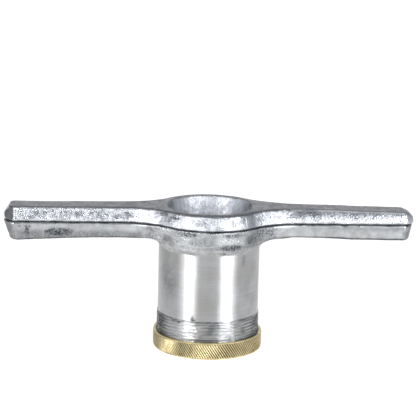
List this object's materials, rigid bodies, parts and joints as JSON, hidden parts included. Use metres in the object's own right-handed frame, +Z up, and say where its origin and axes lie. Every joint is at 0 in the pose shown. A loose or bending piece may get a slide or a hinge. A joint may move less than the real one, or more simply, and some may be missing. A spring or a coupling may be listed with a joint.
{
  "type": "string hopper press",
  "caption": "Hand press for string hoppers: a cast cup plunger with side grips slides in a cast barrel with side grips, and a knurled ring nut holds a perforated plate.",
  "frame": {"origin": "middle of the ring nut's bottom face, on which the press stands", "axes": "+Z up along the barrel, +X along the right grips, +Y away from the front"},
  "size_m": [0.2524, 0.0678, 0.0886],
  "materials": {
    "barrel_casting": "sand cast and filed, turned bright on the barrel",
    "plunger_casting": "sand cast and filed, dull",
    "ring_brass": "turned and knurled",
    "plate_brass": "rolled sheet, drilled"
  },
  "bodies": {
    "barrel": {"barrel": "barrel_casting"},
    "plunger": {"plunger": "plunger_casting"},
    "die": {"die_plate": "plate_brass"},
    "ring": {"retaining_ring": "ring_brass"}
  },
  "joints": [
    {"name": "plunger_slide", "type": "slide", "parent": "barrel", "child": "plunger", "axis": [0, 0, 1], "range_m": [0, 0.08]},
    {"name": "die_drop", "type": "slide", "parent": "barrel", "child": "die", "axis": [0, 0, -1], "range_m": [0, 0.0081]},
    {"name": "ring_turn", "type": "hinge", "parent": "die", "child": "ring", "pos_m": [0, 0, 0], "axis": [0, 0, -1], "range_deg": [0, 1440]}
  ],
  "couplings": [
    {"joint": "die_drop", "follows": "ring_turn", "m_per_rad": 0.00031831}
  ]
}
